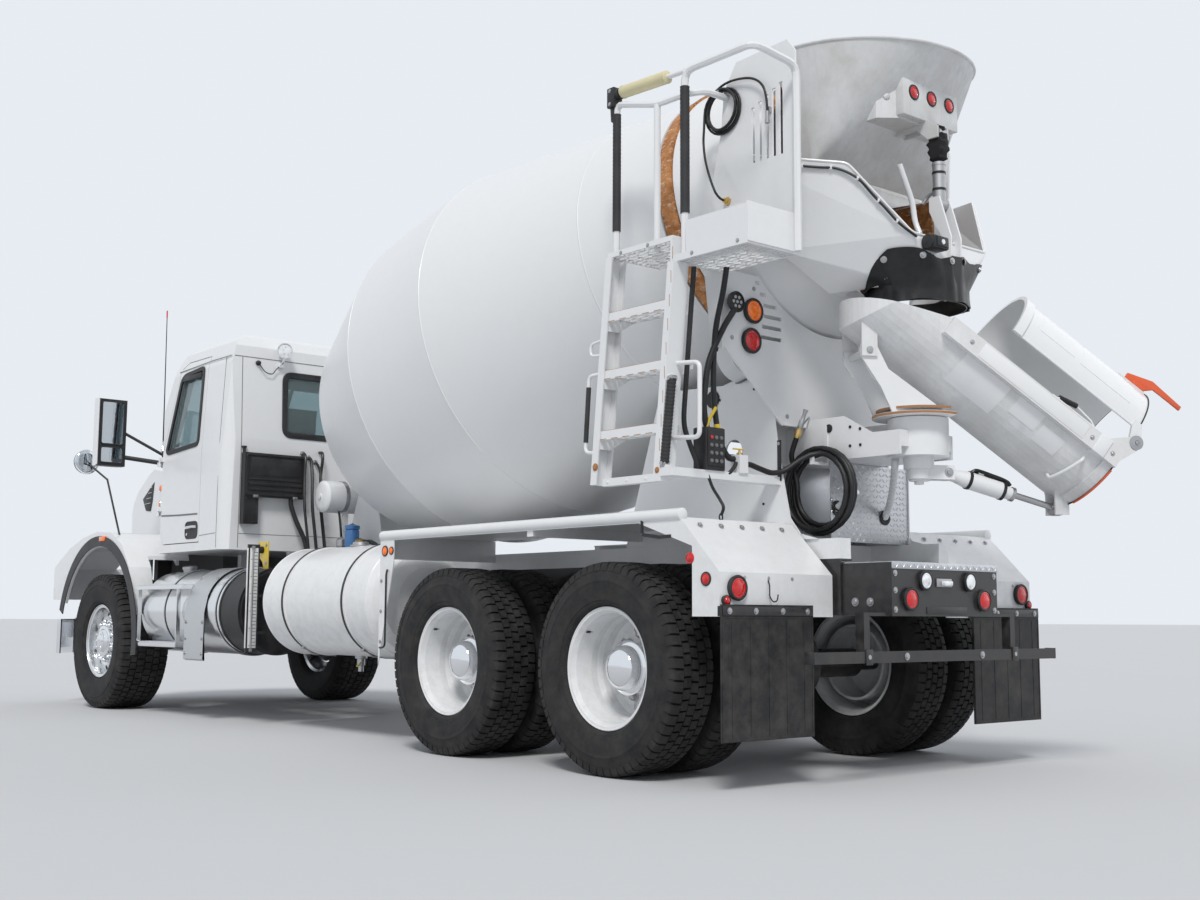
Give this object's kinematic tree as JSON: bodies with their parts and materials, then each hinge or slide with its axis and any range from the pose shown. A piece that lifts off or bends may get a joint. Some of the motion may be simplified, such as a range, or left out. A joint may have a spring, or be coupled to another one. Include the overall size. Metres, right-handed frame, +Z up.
{
  "type": "concrete mixer truck",
  "caption": "Rear discharge concrete mixer truck with a conventional day cab, turning drum, tilting hopper, folding chute and tandem drive axles.",
  "frame": {"origin": "on the ground, below the middle of the whole truck with its chute parked", "axes": "+X forward, +Y left, +Z up"},
  "size_m": [9.4007, 3, 3.7527],
  "materials": {
    "frame_black": "satin black chassis paint",
    "body_white": "gloss white paint",
    "drum_white": "gloss white paint over rolled plate and welds",
    "ring_rust": "rusted running track",
    "drive_grey": "grey painted castings",
    "engine_grey": "painted castings",
    "cab_glass": "tinted clear glass",
    "interior": "dark cloth and moulded trim",
    "trim_black": "moulded black plastic",
    "trim_grey": "grey plastic flares and chrome bars",
    "lamp_lens": "moulded lenses",
    "headlamp": "clear lenses",
    "bright_steel": "polished",
    "bright_alu": "polished aluminium",
    "tyre": "black tread rubber",
    "rubber": "black sheet rubber",
    "hose": "black hose",
    "hopper_grey": "white paint dulled by cement"
  },
  "bodies": {
    "chassis": {"chassis_frame": "frame_black", "mixer_subframe": "body_white", "rear_pedestal": "body_white", "drum_cradle": "body_white", "swivel_arm": "body_white", "drum_drive": "drive_grey", "engine_block": "engine_grey", "cab_shell": "body_white", "cab_glass": "cab_glass", "cab_interior": "interior", "mirrors": "trim_black", "bumper": "bright_steel", "fuel_tank": "bright_alu", "side_boxes": "trim_black", "water_tank": "body_white", "front_axle": "frame_black", "rear_axles": "frame_black", "rear_fenders": "body_white", "mudflaps": "rubber", "tail_box": "frame_black", "lamps": "lamp_lens", "ladder": "body_white", "platform": "body_white", "collector": "body_white", "skirt": "rubber", "wash_hose": "hose", "wash_coil": "hose", "platform_hose": "hose"},
    "drum": {"drum": "drum_white", "drum_ring": "ring_rust"},
    "door_left": {"door_left": "body_white", "door_glass_left": "cab_glass"},
    "door_right": {"door_right": "body_white", "door_glass_right": "cab_glass"},
    "hood": {"hood": "body_white", "hood_trim": "trim_grey", "headlamps": "headlamp"},
    "knuckle_left": {"knuckle_left": "frame_black"},
    "knuckle_right": {"knuckle_right": "frame_black"},
    "wheel_front_left": {"tyre_front_left": "tyre", "rim_front_left": "bright_alu"},
    "wheel_front_right": {"tyre_front_right": "tyre", "rim_front_right": "bright_alu"},
    "wheels_mid_left": {"tyres_mid_left": "tyre", "rims_mid_left": "body_white"},
    "wheels_mid_right": {"tyres_mid_right": "tyre", "rims_mid_right": "body_white"},
    "wheels_rear_left": {"tyres_rear_left": "tyre", "rims_rear_left": "body_white"},
    "wheels_rear_right": {"tyres_rear_right": "tyre", "rims_rear_right": "body_white"},
    "hopper": {"hopper": "hopper_grey"},
    "hopper_barrel": {"hopper_barrel": "bright_steel"},
    "hopper_rod": {"hopper_rod": "bright_steel"},
    "chute_swivel": {"chute_swivel": "body_white"},
    "main_chute": {"main_chute": "body_white"},
    "fold_chute": {"fold_chute": "body_white"},
    "chute_barrel": {"chute_barrel": "body_white"},
    "chute_rod": {"chute_rod": "bright_steel"}
  },
  "joints": [
    {"name": "drum_spin", "type": "hinge", "parent": "chassis", "child": "drum", "pos_m": [-0.317, 0, 2.4], "axis": [-0.9791, 0, 0.2035], "continuous": true},
    {"name": "steer_left", "type": "hinge", "parent": "chassis", "child": "knuckle_left", "pos_m": [3.55, 0.85, 0.553], "axis": [0, 0, 1], "range_deg": [-30, 30]},
    {"name": "steer_right", "type": "hinge", "parent": "chassis", "child": "knuckle_right", "pos_m": [3.55, -0.85, 0.553], "axis": [0, 0, 1], "range_deg": [-30, 30]},
    {"name": "spin_front_left", "type": "hinge", "parent": "knuckle_left", "child": "wheel_front_left", "pos_m": [3.55, 1.015, 0.553], "axis": [0, 1, 0], "continuous": true},
    {"name": "spin_front_right", "type": "hinge", "parent": "knuckle_right", "child": "wheel_front_right", "pos_m": [3.55, -1.015, 0.553], "axis": [0, 1, 0], "continuous": true},
    {"name": "spin_mid_left", "type": "hinge", "parent": "chassis", "child": "wheels_mid_left", "pos_m": [-1.548, 0.915, 0.523], "axis": [0, 1, 0], "continuous": true},
    {"name": "spin_mid_right", "type": "hinge", "parent": "chassis", "child": "wheels_mid_right", "pos_m": [-1.548, -0.915, 0.523], "axis": [0, 1, 0], "continuous": true},
    {"name": "spin_rear_left", "type": "hinge", "parent": "chassis", "child": "wheels_rear_left", "pos_m": [-2.92, 0.915, 0.523], "axis": [0, 1, 0], "continuous": true},
    {"name": "spin_rear_right", "type": "hinge", "parent": "chassis", "child": "wheels_rear_right", "pos_m": [-2.92, -0.915, 0.523], "axis": [0, 1, 0], "continuous": true},
    {"name": "door_left_swing", "type": "hinge", "parent": "chassis", "child": "door_left", "pos_m": [2.786, 1.058, 1.9], "axis": [0, 0, -1], "range_deg": [0, 70]},
    {"name": "door_right_swing", "type": "hinge", "parent": "chassis", "child": "door_right", "pos_m": [2.786, -1.058, 1.9], "axis": [0, 0, 1], "range_deg": [0, 70]},
    {"name": "hood_tilt", "type": "hinge", "parent": "chassis", "child": "hood", "pos_m": [4.5, 0, 0.88], "axis": [0, 1, 0], "range_deg": [0, 55]},
    {"name": "hopper_tilt", "type": "hinge", "parent": "chassis", "child": "hopper", "pos_m": [-3.49, 0, 3.5], "axis": [0, 1, 0], "range_deg": [0, 15]},
    {"name": "hopper_barrel_turn", "type": "hinge", "parent": "chassis", "child": "hopper_barrel", "pos_m": [-4.08, 0, 2.83], "axis": [0, 1, 0], "range_deg": [-6.48, 0]},
    {"name": "hopper_rod_slide", "type": "slide", "parent": "hopper_barrel", "child": "hopper_rod", "axis": [0, 0, 1], "range_m": [0, 0.16969]},
    {"name": "chute_swing", "type": "hinge", "parent": "chassis", "child": "chute_swivel", "pos_m": [-3.92, 0, 1.7], "axis": [0, 0, 1], "range_deg": [-120, 30]},
    {"name": "chute_tilt", "type": "hinge", "parent": "chute_swivel", "child": "main_chute", "pos_m": [-3.77, 0.25981, 2.08], "axis": [-0.866, 0.5, 0], "range_deg": [-3, 12]},
    {"name": "chute_barrel_turn", "type": "hinge", "parent": "chute_swivel", "child": "chute_barrel", "pos_m": [-3.9895, -0.12038, 1.496], "axis": [-0.866, 0.5, 0], "range_deg": [-5.69, 21.22]},
    {"name": "chute_rod_slide", "type": "slide", "parent": "chute_barrel", "child": "chute_rod", "axis": [-0.4812, -0.8334, -0.272], "range_m": [-0.03113, 0.11602]},
    {"name": "fold_turn", "type": "hinge", "parent": "main_chute", "child": "fold_chute", "pos_m": [-4.42339, -0.87189, 1.63524], "axis": [0.866, -0.5, 0], "range_deg": [0, 180]}
  ],
  "couplings": [
    {"joint": "steer_right", "follows": "steer_left", "ratio": 1},
    {"joint": "hopper_barrel_turn", "follows": "hopper_tilt", "ratio": -0.42381},
    {"joint": "hopper_rod_slide", "follows": "hopper_tilt", "m_per_rad": 0.63546},
    {"joint": "chute_barrel_turn", "follows": "chute_tilt", "ratio": 1.7254},
    {"joint": "chute_rod_slide", "follows": "chute_tilt", "m_per_rad": 0.54042}
  ]
}
